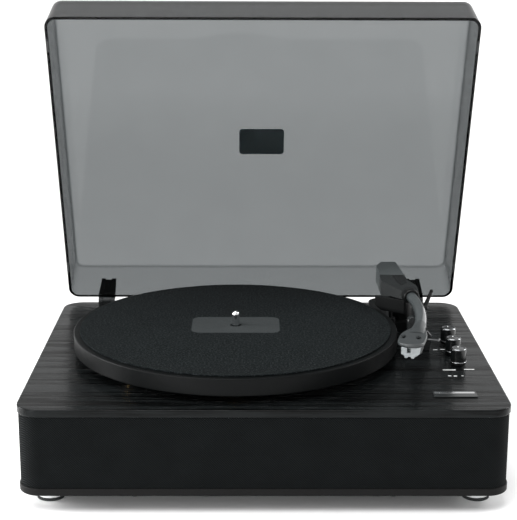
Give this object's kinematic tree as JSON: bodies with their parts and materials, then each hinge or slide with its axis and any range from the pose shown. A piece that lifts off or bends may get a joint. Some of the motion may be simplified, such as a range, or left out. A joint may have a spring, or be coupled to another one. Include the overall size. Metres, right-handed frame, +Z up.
{
  "type": "record player",
  "caption": "Belt-drive record player with built-in speakers in a rounded plinth, a curved tonearm, three knobs and a hinged smoked cover standing open.",
  "frame": {"origin": "on the floor, under the centre of the plinth", "axes": "+X to the right seen from the front, +Y from the front to the hinges, +Z up"},
  "size_m": [0.42, 0.3805, 0.4151],
  "materials": {
    "black_ash_vinyl": "black wood-grain foil, satin",
    "black_paint": "black painted fibreboard, matte",
    "speaker_cloth": "woven black cloth",
    "basket_steel": "black stamped steel",
    "cone_paper": "pressed paper",
    "foot_silver": "silver-plated plastic",
    "rubber": "matte rubber",
    "soft_clear": "clear soft pads",
    "screw_black": "black oxide",
    "motor_steel": "zinc-plated can",
    "bearing_brass": "turned brass",
    "circuit_board": "green circuit board",
    "pot_metal": "zinc-plated can",
    "panel_plastic": "fine black texture",
    "nickel": "nickel plate",
    "hinge_plastic": "black moulded plastic",
    "arm_plastic": "black moulded plastic",
    "rest_plastic": "dark grey moulded plastic",
    "badge_black": "black plate",
    "smoked_clear": "smoked clear plastic",
    "label_dark": "plain dark label",
    "platter_black": "black moulded plastic, satin",
    "felt": "black felt",
    "spindle_steel": "polished steel",
    "housing_grey": "dark grey plastic",
    "tube_grey": "grey lacquer, glossy",
    "head_grey": "grey plastic, glossy",
    "guard_clear": "milky clear plastic",
    "cartridge_black": "black plastic",
    "knob_black": "black gloss with a bright ring"
  },
  "bodies": {
    "cabinet": {"bottom_board": "black_paint", "cabinet_frame": "black_paint", "top_board": "black_ash_vinyl", "grille_cloth": "speaker_cloth", "woofer_left_basket": "basket_steel", "woofer_left_cone": "cone_paper", "woofer_right_basket": "basket_steel", "woofer_right_cone": "cone_paper", "tweeter_left_basket": "basket_steel", "tweeter_left_cone": "cone_paper", "tweeter_right_basket": "basket_steel", "tweeter_right_cone": "cone_paper", "foot_front_left": "foot_silver", "foot_front_right": "foot_silver", "foot_back_left": "foot_silver", "foot_back_right": "foot_silver", "foot_pads": "rubber", "cabinet_screws": "screw_black", "motor_can": "motor_steel", "motor_mount": "basket_steel", "bearing_housing": "bearing_brass", "main_board": "circuit_board", "potentiometers": "pot_metal", "rear_panel": "panel_plastic", "rca_jacks": "nickel", "aux_jack": "panel_plastic", "dc_inlet": "panel_plastic", "hinge_base_left": "hinge_plastic", "hinge_base_right": "hinge_plastic", "hinge_pins": "spindle_steel", "hinge_screws": "screw_black", "arm_base": "arm_plastic", "arm_rest": "rest_plastic", "badge_plate": "badge_black", "drive_belt": "rubber"},
    "dust_cover": {"cover_shell": "smoked_clear", "cover_label": "label_dark", "hinge_leaf_left": "hinge_plastic", "hinge_leaf_right": "hinge_plastic", "cover_bumpers": "soft_clear"},
    "platter": {"platter_disc": "platter_black", "platter_mat": "felt", "spindle": "spindle_steel"},
    "pulley": {"motor_pulley": "bearing_brass"},
    "yoke": {"arm_yoke": "pot_metal", "tilt_axle": "spindle_steel"},
    "tonearm": {"arm_tube": "tube_grey", "counterweight_housing": "housing_grey", "counterweight": "spindle_steel", "headshell": "head_grey", "headshell_screws": "screw_black", "finger_lift": "head_grey", "cartridge_body": "cartridge_black", "stylus_guard": "guard_clear"},
    "lever": {"cue_lever": "arm_plastic"},
    "lifter": {"arm_lifter": "arm_plastic"},
    "source_knob": {"knob_source": "knob_black"},
    "speed_knob": {"knob_speed": "knob_black"},
    "volume_knob": {"knob_volume": "knob_black"}
  },
  "joints": [
    {"name": "cover_hinge", "type": "hinge", "parent": "cabinet", "child": "dust_cover", "pos_m": [0, 0.1687, 0.094], "axis": [-1, 0, 0], "range_deg": [-69.5, 0]},
    {"name": "platter_spin", "type": "hinge", "parent": "cabinet", "child": "platter", "pos_m": [-0.0255, 0, 0.1155], "axis": [0, 0, 1], "continuous": true},
    {"name": "pulley_spin", "type": "hinge", "parent": "cabinet", "child": "pulley", "pos_m": [-0.12216, -0.06768, 0.104], "axis": [0, 0, 1], "continuous": true},
    {"name": "arm_swing", "type": "hinge", "parent": "cabinet", "child": "yoke", "pos_m": [0.141, 0.081, 0.1325], "axis": [0, 0, 1], "range_deg": [-46, 0]},
    {"name": "arm_lift", "type": "hinge", "parent": "yoke", "child": "tonearm", "pos_m": [0.141, 0.081, 0.1325], "axis": [-1, 0, 0], "range_deg": [-0.7, 6]},
    {"name": "cue_lever_turn", "type": "hinge", "parent": "cabinet", "child": "lever", "pos_m": [0.1525, 0.057, 0.1175], "axis": [1, 0, 0], "range_deg": [-7, 60]},
    {"name": "lifter_slide", "type": "slide", "parent": "cabinet", "child": "lifter", "axis": [0, 0, 1], "range_m": [-0.0003, 0.0025]},
    {"name": "source_turn", "type": "hinge", "parent": "cabinet", "child": "source_knob", "pos_m": [0.1803, 0.0185, 0.1], "axis": [0, 0, -1], "range_deg": [0, 60]},
    {"name": "speed_turn", "type": "hinge", "parent": "cabinet", "child": "speed_knob", "pos_m": [0.1803, -0.0135, 0.1], "axis": [0, 0, -1], "range_deg": [0, 60]},
    {"name": "volume_turn", "type": "hinge", "parent": "cabinet", "child": "volume_knob", "pos_m": [0.1803, -0.0455, 0.1], "axis": [0, 0, -1], "range_deg": [0, 300]}
  ],
  "couplings": [
    {"joint": "pulley_spin", "follows": "platter_spin", "ratio": 12.791},
    {"joint": "cue_lever_turn", "follows": "arm_lift", "ratio": 10},
    {"joint": "lifter_slide", "follows": "arm_lift", "m_per_rad": 0.0229}
  ]
}
